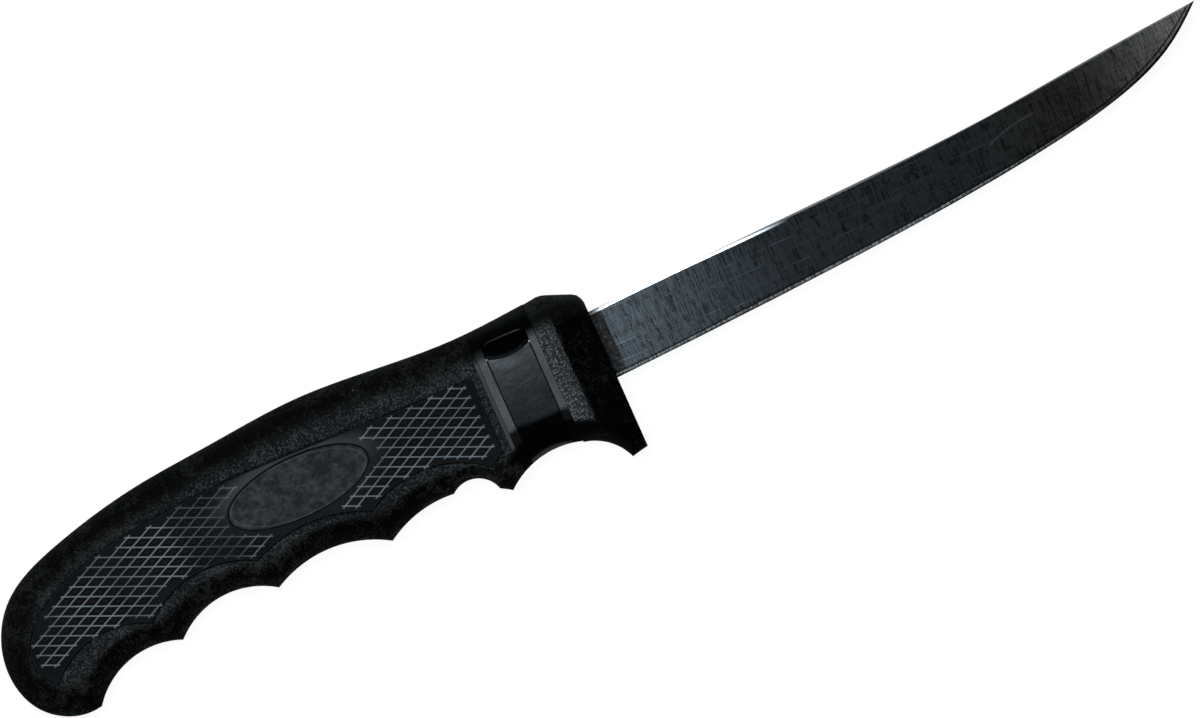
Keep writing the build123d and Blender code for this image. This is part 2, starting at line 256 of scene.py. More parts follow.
def rubber(name, look):
    # soft rubber with a moulded grain of round cells, greyed where hands have rubbed it
    finish = Finish(name)
    x, y = finish.axes(finish.place())[:2]
    cell, grain = finish.pebbles(look["grain"])
    smooth = x.ease(look["lipStart"] - 0.1 * mm, look["lipStart"])
    patches = finish.noise(look["patchScale"], 4.0, 0.62).ease(0.36, 0.66)
    blotch = finish.noise(look["blotchScale"], 3.0, 0.6).ease(0.38, 0.66)
    fleck = (grain * 0.8 + patches * 0.28 + blotch * 0.38).ease(0.62, 1.12) * (1 - smooth)
    colour = finish.mix(fleck, grey(look["dark"], warmTint), grey(look["worn"], warmTint))
    # painted light: the rounded top of the back is paler, where the light falls on it
    litTop = y.ease(*look["topLightHeights"]) * (grain * 0.9 + patches * 0.5).ease(0.45, 1.0) * look["topLight"]
    colour = finish.mix(litTop, colour, grey(look["topLightLevel"], warmTint))
    # a few bright specks of dust, each in its own cell
    away = finish.cells(look["speckSpacing"])
    chance = finish.node("SeparateColor", inputs={0: finish.cells(look["speckSpacing"], out=1)})
    speck = (away < look["speckRadius"]) * (chance > 1 - look["speckShare"])
    colour = finish.mix(speck * 0.9, colour, grey(look["speckLevel"], warmTint))
    gloss = cell.ease(0.78, 0.12) * (1 - smooth) * look["glossyCrowns"] + smooth * look["lipGloss"]
    finish.set(colour=colour, roughness=look["roughness"] - patches * 0.06 - gloss, specular=look["specular"],
               normal=finish.bump(grain * (1 - smooth), look["grainDepth"]),
               coat=smooth * 0.22, coatRoughness=0.34)
    # painted shade: the underside and the faces to the front see nothing bright, so they get a matt
    # near-black
    turnX, turnY = finish.facing()[:2]
    under = turnY.ease(*look["underTurn"]) * look["underShade"]
    front = (turnX + (grain - 0.5) * 0.07).ease(*look["frontTurn"]) * turnY.ease(0.45, 0.15)
    front = front * (x + (blotch - 0.5) * look["ragged"]).ease(*look["frontStart"]) * look["frontShade"]
    return finish.shade(under.most(front) * (1 - fleck * look["wornShown"]), look["shadeLevel"])


steelLook = {
    "dark": 0.0062,
    "light": 0.030,
    "scratched": 0.066,
    "ground": 0.80,  # bare metal of the ground edge, also painted pale as a highlight, and the painted highlight along the spine
    "groundTint": (0.98, 1.0, 1.0),
    "lineLevel": 0.0008,  # the dark lines beside the ground edge
    "guardReflectionLevel": 0.0085,
    "guardReflectionTint": (1.16, 1.0, 0.84),
    "tipTint": (1.18, 1.02, 0.89),
    "roughness": 0.22,
    "reliefDepth": 0.004 * mm,
    # grain of the polish lines to the metre in x, y and z, and their slant
    "across": ((2200, 150, 40), 0.08),
    "fine": ((5600, 300, 60), -0.04),
    "along": ((42, 2300, 60), 0.05),
    "nicks": ((2600, 900, 60), 0.0),
    "breakScale": 38,  # breaks in the long scratches, also to the metre, as are the next four
    "cloudScale": 34,
    "stainScale": 420,
    "speckleScale": 1500,
    "guardReflectionScale": 1300,
    # places on the blade are in millimetres, out from the guard and up from the middle line
    "spine": [(0, 7.55), (38, 8.73), (76, 9.84), (114, 12.56), (152, 16.12)],
    "edge": [(0, -8.39), (20, -7.65), (50, -6.10), (80, -3.88), (110, -0.47), (135, 5.26), (152, 15.70)],
    "stainsIn": (40, 60),
    "stainsOut": (112, 96),
    "tintIn": (85, 112),
    "reflectionByGuard": (50, 6),  # painted reflection: the flat is lighter toward the guard and the tip, and darkest between these two stretches
    "reflectionByTip": (108, 160),
    "guardReflectionOut": (2.9, 2.4),  # the strip at the blade's root where the guard's face is painted in as a reflection
    "glintIn": (1.0, 3.4),
    "glintOut": (50, 34),
    "edgeWidens": (115, 152),
    "edgeLightFades": (140, 85),
    "scratchMiddle": (103.1, 7.0),  # one long bowed scratch
    "scratchHalf": 6.5,
    "scratchRise": 0.22,
    "scratchBow": 0.75,
}


def lineThrough(points, reach):
    # height of the smooth curve through a few points, at a place along the blade
    places, heights = zip(*points)
    height, *factors = (float(k) for k in np.polyfit(places, heights, len(points) - 1))
    for factor in factors:
        height = reach * height + factor
    return height


def bowedScratch(reach, height, look):
    middle, level = look["scratchMiddle"]
    bow = ((reach - middle) / look["scratchHalf"]) ** 2
    away = abs(height - level - (reach - middle) * look["scratchRise"] + bow * look["scratchBow"])
    return away.ease(0.42, 0.08) * bow.ease(1.0, 0.7)


def spineGlint(reach, below, look):
    # a painted highlight just below the spine, strongest near the guard
    across = below.ease(0.92, 0.74) * below.ease(0.22, 0.40, 0.05, 1.0)
    return across * reach.ease(*look["glintOut"]) * reach.ease(*look["glintIn"], 0.12, 1.0)


def bladeSteel(name, look):
    # the flat's polish lines run across the blade, and its ground edge is bare metal; painted light lies over
    # them: a reflection that lightens the flat toward the guard and the tip, the guard's reflection at its
    # root, and highlights on the edge and below the spine
    finish = Finish(name)
    x, y = finish.axes(finish.place())[:2]
    reach = x / mm
    height = (y - bladeLine) / mm
    across = finish.noise(1.0, 4.0, 0.75, finish.stretched(*look["across"]))
    fine = finish.noise(1.0, 3.0, 0.65, finish.stretched(*look["fine"]))
    along = finish.noise(1.0, 3.0, 0.6, finish.stretched(*look["along"]))
    longScratch = along.ease(0.63, 0.68) * finish.noise(look["breakScale"], 2.0, 0.5).ease(0.44, 0.56)
    speckle = finish.noise(look["speckleScale"], 2.0, 0.6).ease(0.60, 0.72)
    stain = finish.noise(look["stainScale"], 5.0, 0.68, warp=0.7).ease(0.46, 0.62)
    cloud = finish.noise(look["cloudScale"], 4.0, 0.6).ease(0.30, 0.72)
    mottled = stain * reach.ease(*look["stainsIn"]) * reach.ease(*look["stainsOut"])
    lines = (across - 0.5) * 3.7 + (fine - 0.5) * 4.8 + (along - 0.5) * 1.5
    level = (0.62 + cloud * 0.22 + mottled * 0.85 + lines + speckle * 1.8).most(0.0).least(1.6)
    colour = finish.mix(level, grey(look["dark"], coolTint), grey(look["light"], coolTint))
    scratches = (longScratch * 0.8).most(bowedScratch(reach, height, look) * 0.7)
    colour = finish.mix(scratches, colour, grey(look["scratched"], coolTint))
    # painted reflection: the flat's colour is scaled lighter toward the guard and toward the tip
    reflectionScale = 0.275 + reach.ease(*look["reflectionByGuard"]) * 0.60 + reach.ease(*look["reflectionByTip"]) ** 2 * 2.6
    colour = finish.node("VectorMath", {"operation": "SCALE"}, {0: colour, 3: reflectionScale})
    colour = finish.mix(reach.ease(*look["tintIn"]), colour, finish.tint(colour, look["tipTint"]))
    # painted reflection: a dark warm strip at the blade's root stands in for the guard's face mirrored in the
    # flat
    reflectionBreakup = (0.65 + (finish.noise(look["guardReflectionScale"], 4.0, 0.7) - 0.5) * 2.4).most(0.0).least(1.0)
    guardReflection = reach.ease(*look["guardReflectionOut"]) * reflectionBreakup
    colour = finish.mix(guardReflection, colour, grey(look["guardReflectionLevel"], look["guardReflectionTint"]))
    below = lineThrough(look["spine"], reach) - height
    above = height - lineThrough(look["edge"], reach)
    # the ground edge lies between two dark lines, and widens toward the tip; it is bare metal, painted pale
    # and not metallic as a highlight that fades toward the tip
    slope = abs(finish.facing()[2]).ease(0.995, 0.975)
    up = above / (1 + reach.ease(*look["edgeWidens"]) * 0.5)
    band = up.ease(0.20, 0.34) * up.ease(0.92, 0.78)
    nick = finish.noise(1.0, 3.0, 0.7, finish.stretched(*look["nicks"])).ease(0.38, 0.66)
    bareAndLitEdge = slope * band * (0.35 + nick * 0.75).least(1.0) * reach.ease(*look["edgeLightFades"], 0.22, 1.0)
    darkLine = up.ease(1.30, 1.05) * (1 - band) * 0.85
    colour = finish.mix(darkLine, colour, grey(look["lineLevel"]))
    # painted highlights: the ground edge, the line below the spine, and a faint rim at the spine's very top
    bright = bareAndLitEdge.most(spineGlint(reach, below, look)).most(below.ease(0.42, 0.22) * 0.07)
    colour = finish.mix(bright, colour, grey(look["ground"], look["groundTint"]))
    rough = look["roughness"] + (across - 0.5) * 0.16 + stain * 0.03 + slope * 0.22 + guardReflection * 0.25
    relief = across * 0.5 + fine * 0.35 + along * 0.2 - longScratch * 1.2
    return finish.set(colour=colour, roughness=rough, metallic=1 - bareAndLitEdge,
                      normal=finish.bump(relief, look["reliefDepth"], 0.8))


plainSteelLook = {
    "dark": 0.30,
    "worn": 0.48,
    "roughness": 0.28,
    "lines": (600, 600, 5000),  # turning lines to the metre in x, y and z
    "wearScale": 300,
    "lineDepth": 0.012 * mm,
}


def plainSteel(name, look):
    finish = Finish(name)
    lines = finish.noise(1.0, 3.0, 0.6, finish.stretched(look["lines"]))
    wear = finish.noise(look["wearScale"], 3.0, 0.6).ease(0.4, 0.7)
    colour = finish.mix(wear, grey(look["dark"], coolTint), grey(look["worn"]))
    return finish.set(colour=colour, roughness=look["roughness"] + lines * 0.18, metallic=1.0,
                      normal=finish.bump(lines, look["lineDepth"]))


rubGrain = (260, 2600, 900)  # rubbed lines on every moulded plastic, to the metre in x, y and z


def moulded(name, look, lit=None):
    # hard moulded plastic with a faint eggshell surface, flow marks and light rubbing; lit, if given, makes
    # the share of a painted highlight line from the finish
    finish = Finish(name)
    shell = finish.noise(1 / look["shell"], 3.0, 0.55)
    flow = finish.noise(look["flowScale"], 4.0, 0.66, warp=0.6).ease(0.35, 0.68)
    rubs = finish.noise(1.0, 3.0, 0.6, finish.stretched(rubGrain, turn=0.4)).ease(0.56, 0.70)
    share = (flow * 0.6 + rubs * 0.3 + (shell - 0.5) * 0.8).most(0.0).least(1.0)
    colour = finish.mix(share, grey(look["base"], coolTint), grey(look["pale"], coolTint))
    if lit:
        colour = finish.mix(lit(finish), colour, grey(look["lineLevel"]))
    rough = look["roughness"] + (shell - 0.5) * 0.24 + (0.5 - flow) * look["mottle"] - rubs * 0.06
    return finish.set(colour=colour, roughness=rough, specular=look["specular"],
                      normal=finish.bump(shell * 0.8 - rubs * 0.4, look["shellDepth"]))


nylonLook = {
    "base": 0.42, "pale": 0.52, "roughness": 0.45, "specular": 0.45,
    "shell": 0.35 * mm, "shellDepth": 0.012 * mm, "flowScale": 150, "mottle": 0.06,
}

coreLook = {
    "base": 0.018, "pale": 0.042, "roughness": 0.36, "specular": 0.36,
    "shell": 0.50 * mm, "shellDepth": 0.022 * mm, "flowScale": 150, "mottle": 0.06,
    "shadeOver": (8.8 * mm, 10.0 * mm),  # heights over and under which the neck lies in shade
    "shadeUnder": (-9.2 * mm, -10.4 * mm),
    "crest": (11.6 * mm, 14.4 * mm),  # the shade thins out over the rounded top
    "ragged": 1.6 * mm,  # how far the shade's borders wander, and how often to the metre
    "wanderScale": 420,
    "shadeLevel": 0.0010,
    "lineLevel": 0.10,  # a painted highlight on the edge over the recess
    "lineHeight": 10.45 * mm,
    "lineHalf": 4.9 * mm,
    "lineWidth": (0.26 * mm, 0.10 * mm),
    "lineDrop": 0.8 * mm,  # how far it bends down at its ends
    "creaseShadeOut": (5.50 * mm, 5.25 * mm),  # painted shade in the creases beside the lever, below the recess
    "creaseShadeTop": (10.4 * mm, 9.8 * mm),
}


def corePlastic(name, look):
    # painted shade: the neck's ribs catch the light, but its rounded top and underside do not and get a matt
    # near-black
    def edgeLine(finish):
        # painted highlight: a thin pale line along the core's edge over the lever's recess
        x, y = finish.axes(finish.place())[:2]
        side = abs(x - leverMiddle.x) / look["lineHalf"]
        away = abs(y - bladeLine - look["lineHeight"] + side ** 8 * look["lineDrop"])
        return away.ease(*look["lineWidth"]) * side.ease(1.10, 1.0)

    finish = moulded(name, look, edgeLine)
    x, y = finish.axes(finish.place())[:2]
    height = y - bladeLine
    wandering = height + (finish.noise(look["wanderScale"], 3.0, 0.6) - 0.5) * look["ragged"]
    shaded = wandering.ease(*look["shadeOver"]).most(wandering.ease(*look["shadeUnder"]))
    shaded = shaded * height.ease(*look["crest"], 1.0, 0.40) * 0.93
    creaseShade = abs(x - leverMiddle.x).ease(*look["creaseShadeOut"]) * height.ease(*look["creaseShadeTop"]) * 0.85
    return finish.shade(shaded.most(creaseShade) * (1 - edgeLine(finish)), look["shadeLevel"])


ovalLook = {
    "base": 0.003, "pale": 0.034, "roughness": 0.42, "specular": 0.18,
    "shell": 0.9 * mm, "shellDepth": 0.03 * mm, "flowScale": 420, "mottle": 0.15,
    "lineLevel": 0.085,
    "lip": (0.935, 0.955, 0.970, 0.990),  # shares of the way to the rim where the lip's painted highlight comes in and goes out
}


def ovalPlastic(name, look):
    # a smooth plate with a lip, which is painted pale as a highlight; its ground is blotched where thumbs
    # have rubbed it
    def lip(finish):
        x, y = finish.axes(finish.place())[:2]
        out = (((x - ovalMiddle.x) / ovalHalf.x) ** 2 + ((y - ovalMiddle.y) / ovalHalf.y) ** 2) ** 0.5
        start, full, fades, end = look["lip"]
        return out.ease(start, full) * out.ease(end, fades) * 0.75

    return moulded(name, look, lip)


panelLook = {
    "base": 0.0016, "pale": 0.060, "roughness": 0.60, "specular": 0.11,
    "rubbedHalf": (21 * mm, 9.5 * mm),  # half sizes of the oval that thumbs have rubbed
    "rubbedHeights": (-4 * mm, 3 * mm),
    "flowScale": 90,
    "shellScale": 1800,
    "shellDepth": 0.02 * mm,
}


def panelRubber(name, look):
    # the smooth ground between the diamonds and round the oval, lighter where thumbs rub it
    finish = Finish(name)
    x, y = finish.axes(finish.place())[:2]
    halfX, halfY = look["rubbedHalf"]
    far = (((x - ovalMiddle.x) / halfX) ** 2 + ((y - ovalMiddle.y) / halfY) ** 2) ** 0.5
    rubbed = far.ease(1.15, 0.75) * (y - bladeLine).ease(*look["rubbedHeights"], 0.15, 1.0)
    shell = finish.noise(look["shellScale"], 3.0, 0.6)
    flow = finish.noise(look["flowScale"], 4.0, 0.6).ease(0.38, 0.7)
    share = (rubbed * 0.9 + flow * 0.18 + (shell - 0.5) * 0.5).most(0.0).least(1.0)
    colour = finish.mix(share, grey(look["base"], coolTint), grey(look["pale"], coolTint))
    return finish.set(colour=colour, roughness=look["roughness"] - rubbed * 0.16 + (shell - 0.5) * 0.1,
                      specular=look["specular"], normal=finish.bump(shell + flow * 0.6, look["shellDepth"]),
                      coat=rubbed * 0.10, coatRoughness=0.38)


leverLook = {
    "base": 0.0006, "pale": 0.034, "roughness": 0.17, "specular": 0.22,
    "streaks": (90, 420, 200),  # to the metre in x, y and z
    "smudgeScale": 110,  # to the metre
    "mottleScale": 330,
    "fineScale": 1500,
    "half": 4.8 * mm,  # half the width of its face
    "crown": 0.0074,  # how far the face turns away, in radians to the millimetre
    "crownHeight": 7.3 * mm,
    "rollStart": 5.7 * mm,  # height where the face rolls over at its top
    "rollReach": 1.6 * mm,
    "rollSlope": 0.34,
    "rollSag": 1.1 * mm,  # how much higher that is at the face's sides
    "wobbleDepth": 0.018 * mm,
    "shadeOver": (6.2 * mm, 6.9 * mm),
    "shadeUnder": (-8.8 * mm, -10.2 * mm),
    "bottomLip": (-16.8 * mm, -16.1 * mm),  # which catches the light again
    "lipSag": 0.9 * mm,
    "ragged": 0.8 * mm,
    "shadeLevel": 0.0004,
}


def leverPlastic(name, look):
    # glossy plastic; its face is gently crowned and rolls over at the top
    finish = Finish(name)
    x, y = finish.axes(finish.place())[:2]
    height = y - bladeLine
    side = (x - leverMiddle.x) / look["half"]
    crown = (height - look["crownHeight"]) ** 2 * (look["crown"] / (-2 * mm))
    over = (height - look["rollStart"] - side * side * look["rollSag"]).most(0.0)
    roll = over.least(look["rollReach"]) * -look["rollSlope"]
    mottle = finish.noise(look["mottleScale"], 3.0, 0.55)
    smudge = finish.noise(look["smudgeScale"], 4.0, 0.6, warp=0.5).ease(0.36, 0.68)
    fine = finish.noise(look["fineScale"], 2.0, 0.5)
    streak = finish.noise(1.0, 4.0, 0.62, finish.stretched(look["streaks"], turn=0.12), warp=0.4)
    streak = streak.ease(0.34, 0.68)
    share = (smudge * 0.5 + streak * 0.7 + (fine - 0.5) * 1.2).most(0.0)
    colour = finish.mix(share, grey(look["base"], coolTint), grey(look["pale"], coolTint))
    rough = look["roughness"] + smudge * 0.06 + (fine - 0.5) * 0.16 + (1 - streak) * 0.16
    wobble = mottle * 1.2 + smudge * 1.6 + fine * 0.10
    normal = finish.bump(wobble, look["wobbleDepth"], under=finish.bump(crown + roll, 1.0))
    finish.set(colour=colour, roughness=rough, specular=look["specular"], normal=normal)
    # painted shade: the face's top where it rolls over, and its underside above the bottom lip, get a matt
    # near-black
    under = (height + (smudge - 0.5) * look["ragged"]).ease(*look["shadeUnder"])
    under = under * (height + side * side * look["lipSag"]).ease(*look["bottomLip"])
    top = (height - side * side * look["rollSag"]).ease(*look["shadeOver"])
    return finish.shade(under.most(top) * 0.97, look["shadeLevel"])


finishedNodes = [
    (rubber("gripRubber", gripLook), ["grip"]),
    (rubber("guardRubber", guardLook), ["guard"]),
    (panelRubber("panelRubber", panelLook), ["side_panel_right", "side_panel_left"]),
    (ovalPlastic("ovalPlastic", ovalLook), ["oval_plate_right", "oval_plate_left"]),
    (corePlastic("corePlastic", coreLook), ["core_right", "core_left"]),
    (leverPlastic("leverPlastic", leverLook), ["lock_lever"]),
    (moulded("innerNylon", nylonLook), ["tang_stop", "clamp_leaf"]),
    (bladeSteel("bladeSteel", steelLook), ["blade"]),
    (plainSteel("plainSteel", plainSteelLook), ["tang_rivets", "core_screws", "lever_pin"]),
]
for finish, names in finishedNodes:
    for name in names:
        materials = nodes[name].data.materials
        materials.clear()
        materials.append(finish.material)
print("finishes made:", len(finishedNodes))


def openSides(rings):
    # the sides that belong to one ring only, as pairs in that ring's own order
    sides = {}
    for ring in rings:
        for a, b in zip(ring, ring[1:] + ring[:1]):
            if (b, a) in sides:
                del sides[(b, a)]
            else:
                sides[(a, b)] = True
    return list(sides)


def facesInPlane(mesh, axis, plane, way):
    # faces that lie in one plane and look along the axis for way 1, or against it for way -1
    flat, near = 0.99, 0.002 * mm
    return [p for p in mesh.polygons if p.normal[axis] * way > flat and abs(p.center[axis] - plane) < near]


def panelFace(hand):
    # level of a side panel's outer face, and the way it looks
    low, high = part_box(f"side_panel_{hand}")
    return (high.z, 1) if hand == "right" else (low.z, -1)


def newMesh(name, points, faces):
    mesh = bpy.data.meshes.new(name)
    mesh.from_pydata(points, [], faces)
    mesh.update()
    return mesh


def paint(mesh, name, values):
    # one number for each point, which a material reads by this name
    layer = mesh.attributes.new(name, "FLOAT", "POINT")
    layer.data.foreach_set("value", np.array(values, np.float32))


def addPiece(name, mesh, finish):
    mesh.materials.append(finish.material)
    piece = bpy.data.objects.new(name, mesh)
    bpy.context.scene.collection.objects.link(piece)
    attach(piece, "handle")
    print(name, len(mesh.polygons), "faces")


# chequering on the side panels: two fields of sunk diamonds between raised ribs, one either side of the oval
chequer = {
    "ribHalf": 0.22,  # millimetres, as are all sizes here
    "gutter": 0.32,  # width of the gutter beside a rib, painted dark as shade
    "rise": 0.26,  # width of the rise from the gutter to the diamond's middle
    "ribTop": 0.10,  # heights above the panel's face
    "field": 0.045,
    "rim": -0.03,
    "under": 0.10,  # how deep the piece is bedded in the panel
    "stub": 0.27,  # how far a rib runs on past the last diamond, as a share of its length
    "stubEnd": 0.06,
    "seen": 0.9965,  # the flank lies nearer than the knife's middle, so what is measured there shrinks
    "ahead": 1.1,  # how far their own zero point lies in front of the guard
    "steps": [0.0, 0.055, 0.0915, 0.112, 0.245, 0.300, 0.366, 0.5],  # grid lines over half a diamond
}
# size and tilt in degrees of a diamond, a place where two ribs cross, and the field's outline,
# all as measured in the photo
chequerFields = [
    {
        "long": 5.28, "high": 2.40, "tilt": 1.0, "crossing": (0.18, 0.57),
        "outline": [(-144.9, -9.0), (-143.6, -8.4), (-140.4, -5.6), (-135.5, -2.6), (-130.0, 0.2),
                    (-124.6, 2.2), (-117.0, 3.7), (-108.0, 4.6), (-98.0, 5.3), (-89.6, 5.4), (-89.6, 3.4),
                    (-93.6, 1.2), (-94.8, -1.6), (-94.4, -4.6), (-91.0, -7.0), (-86.4, -9.1), (-88.2, -12.2),
                    (-91.8, -12.5), (-95.5, -10.6), (-102.5, -9.8), (-107.5, -9.6), (-112.0, -11.0),
                    (-116.5, -15.3), (-121.5, -14.8), (-127.0, -13.7), (-131.0, -13.6), (-135.5, -15.0),
                    (-140.6, -17.9), (-143.4, -18.6), (-144.9, -15.0)],
    },
    {
        "long": 5.04, "high": 2.42, "tilt": 2.0, "crossing": (-0.86, 0.81),
        "outline": [(-61.8, 4.7), (-45.0, 4.7), (-32.2, 4.6), (-32.2, -13.6), (-35.6, -13.6),
                    (-39.6, -11.6), (-44.5, -9.6), (-55.5, -9.6), (-59.6, -10.4), (-62.6, -12.4),
                    (-65.6, -11.4), (-69.6, -9.7), (-64.6, -7.0), (-59.6, -4.4), (-58.4, -2.0),
                    (-58.2, 0.6), (-61.4, 3.2)],
    },
]


def insideOutline(point, outline):
    x, y = point
    inside = False
    for (x1, y1), (x2, y2) in zip(outline, outline[1:] + outline[:1]):
        if (y1 > y) != (y2 > y) and x < (x2 - x1) * (y - y1) / (y2 - y1) + x1:
            inside = not inside
    return inside


def unit(value):
    return max(0.0, min(1.0, value))


def ribHeight(distance):
    # a rounded rib, by distance from its middle line
    c = chequer
    return c["rim"] + (c["ribTop"] - c["rim"]) * (1 - (distance / c["ribHalf"]) ** 5)


def fieldHeight(distance):
    # beside a rib a flat gutter, then the rise to the diamond's middle
    c = chequer
    rise = unit((distance - c["ribHalf"] - c["gutter"]) / c["rise"])
    return c["rim"] + (c["field"] - c["rim"]) * rise * rise * (3 - 2 * rise)


class DiamondField:
    # a slanting grid: its cells are diamonds, and ribs run along its lines the first and the second way
    def __init__(self, look):
        turn = Matrix.Rotation(math.radians(look["tilt"]), 2)
        self.first = turn @ Vector((look["long"] / 2, look["high"] / 2))
        self.second = turn @ Vector((-look["long"] / 2, look["high"] / 2))
        self.crossing = Vector(look["crossing"])
        first, second = self.first, self.second
        self.pitch = abs(first.x * second.y - first.y * second.x) / first.length
        self.whole = self.wholeDiamonds(look["outline"])
        self.ribs = set()
        for i, j in self.whole:
            self.ribs |= {("first", i, j), ("first", i, j + 1), ("second", i, j), ("second", i + 1, j)}
        self.knots = set()
        for way, i, j in self.ribs:
            self.knots |= {(i, j), self.farEnd(way, i, j)}

    def place(self, i, j):
        return self.crossing + self.first * i + self.second * j

    def farEnd(self, way, i, j):
        return (i + 1, j) if way == "first" else (i, j + 1)

    def wholeDiamonds(self, outline):
        # every corner of a diamond has to lie inside the outline
        inverse = Matrix(((self.first.x, self.second.x), (self.first.y, self.second.y))).inverted()
        steps = [inverse @ (Vector(p) - self.crossing) for p in outline]
        low = [math.floor(min(s[k] for s in steps)) - 1 for k in (0, 1)]
        high = [math.ceil(max(s[k] for s in steps)) + 1 for k in (0, 1)]
        whole = set()
        for i in range(low[0], high[0]):
            for j in range(low[1], high[1]):
                corners = [self.place(i + a, j + b) for a in (0, 1) for b in (0, 1)]
                if all(insideOutline(corner, outline) for corner in corners):
                    whole.add((i, j))
        return whole

    def standing(self, way, i, j, share):
        # how much of a rib stands at this share of its length: whole, a stub, or none
        if (way, i, j) in self.ribs:
            return 1.0
        stub = chequer["stub"]
        near = stub - share if (i, j) in self.knots else -1
        far = stub - (1 - share) if self.farEnd(way, i, j) in self.knots else -1
        return unit(max(near, far) / chequer["stubEnd"] + 0.5)

    def height(self, i, j, s, r):
        # height at two shares of a diamond, and whether that place is in the field
        c = chequer
        height, nearest = c["rim"], math.inf
        for way, ribI, ribJ, gap, share in (("first", i, j, r, s), ("first", i, j + 1, 1 - r, s),
                                            ("second", i, j, s, r), ("second", i + 1, j, 1 - s, r)):
            stands = self.standing(way, ribI, ribJ, share)
            distance = gap * self.pitch
            if stands > 0 and distance < c["ribHalf"]:
                height = max(height, (ribHeight(distance) - c["rim"]) * stands + c["rim"])
            if stands > 0.3:
                nearest = min(nearest, distance)
        touched = [(i, j)]
        if s == 0:
            touched.append((i - 1, j))
        if r == 0:
            touched.append((i, j - 1))
        inField = any(cell in self.whole for cell in touched)
        if inField and height <= c["rim"]:
            height = fieldHeight(nearest)
        if not inField and height <= c["field"]:
            height = -c["under"] / 2
        return height, inField


def chequerSkin():
    # the upper skin of both fields: points, quads, and each point's share of crown and of gutter, which
    # carries the painted shade
    c = chequer
    steps = c["steps"] + [1 - s for s in reversed(c["steps"][:-1])]
    last = len(steps) - 1
    points, quads, crowns, gutterShades = [], [], [], []
    for look in chequerFields:
        field = DiamondField(look)
        numbers = {}

        def number(i, j, m, n):
            # a grid point's number; the point is made when it is first asked for
            key = (i * last + m, j * last + n)
            if key not in numbers:
                numbers[key] = len(points)
                place = field.place(i + steps[m], j + steps[n])
                height, inField = field.height(i, j, steps[m], steps[n])
                points.append((place.x, place.y, height))
                crowns.append(unit((height - c["field"]) / (c["ribTop"] - c["field"])))
                gutterShades.append(unit((c["field"] - height) / (c["field"] - c["rim"])) * inField)
            return numbers[key]

        shown = {(i + a, j + b) for i, j in field.whole for a in (-1, 0, 1) for b in (-1, 0, 1)}
        for i, j in sorted(shown):
            for m in range(last):
                for n in range(last):
                    quad = [number(i, j, m, n), number(i, j, m + 1, n),
                            number(i, j, m + 1, n + 1), number(i, j, m, n + 1)]
                    if max(points[k][2] for k in quad) > -c["under"] / 2:
                        quads.append(quad)
    used = sorted({k for quad in quads for k in quad})
    renumber = {k: n for n, k in enumerate(used)}
    quads = [[renumber[k] for k in quad] for quad in quads]
    return [points[k] for k in used], quads, [crowns[k] for k in used], [gutterShades[k] for k in used]


def chequerMesh(name, level, sign):
    # one closed piece over both fields; level is the panel's face and sign the way it looks
    c = chequer
    top, quads, crowns, gutterShades = chequerSkin()
    count = len(top)
    closed = quads + [[k + count for k in reversed(quad)] for quad in quads]
    closed += [[b, a, a + count, b + count] for a, b in openSides(quads)]
    if sign < 0:
        closed = [quad[::-1] for quad in closed]
    places = []
    for x, y, z in top + [(x, y, -c["under"]) for x, y, _ in top]:
        places.append((guardFront + (x * c["seen"] + c["ahead"]) * mm, bladeLine + y * c["seen"] * mm,
                       level + sign * z * mm))
    mesh = newMesh(name, places, closed)
    paint(mesh, "crown", crowns + [0.0] * count)
    paint(mesh, "gutter", gutterShades + [0.0] * count)
    mesh.shade_smooth()
    return mesh


chequerLook = {
    "dark": 0.0008,
    "worn": 0.0130,
    "ribWearAndSheen": 0.34,
    "grain": 0.48 * mm,
    "grainDepth": 0.07 * mm,
    "rubScale": 80,  # rubbed places to the metre
    "roughField": 0.66,
    "roughRib": 0.30,
    "specular": 0.34,
    "ribShadeIn": (-108 * mm, -102 * mm),  # painted shade: the ribs' pale grey is dimmed over this stretch
    "ribShadeOut": (-88 * mm, -92 * mm),
    "shadeLevel": 0.0004,
}


def chequerRubber(name, look):
    # the diamonds have the grip's grain, and the ribs are rubbed smooth and shiny; their pale grey is rubbing
    # wear and painted sheen
    finish = Finish(name)
    x = finish.axes(finish.place())[0]
    grain = finish.pebbles(look["grain"])[1]
    crown = finish.painted("crown")
    rubbed = finish.noise(look["rubScale"], 3.0, 0.6).ease(0.30, 0.62)
    ribShade = x.ease(*look["ribShadeIn"]) * x.ease(*look["ribShadeOut"])
    polishAndSheen = crown.ease(0.20, 0.75) * (1 - ribShade * 0.60)
    greyed = grain.ease(0.45, 1.0) * 0.8
    colour = finish.mix(greyed, grey(look["dark"], coolTint), grey(look["worn"], coolTint))
    # partly painted sheen: the polished rib crowns get a pale grey
    colour = finish.mix(polishAndSheen * (0.45 + rubbed * 0.55), colour, grey(look["ribWearAndSheen"], coolTint))
    rough = look["roughField"] + (look["roughRib"] - look["roughField"]) * polishAndSheen + (1 - rubbed) * 0.06
    normal = finish.bump(grain * (1 - crown.ease(0.3, 0.8)), look["grainDepth"])
    finish.set(colour=colour, roughness=rough, normal=normal, specular=look["specular"])
    # painted shade: the gutters beside the ribs get a matt near-black
    return finish.shade(finish.painted("gutter").ease(0.10, 0.55) * 0.95, look["shadeLevel"])


chequerFinish = chequerRubber("chequerRubber", chequerLook)
for hand in ("right", "left"):
    name = f"chequering_{hand}"
    addPiece(name, chequerMesh(name, *panelFace(hand)), chequerFinish)


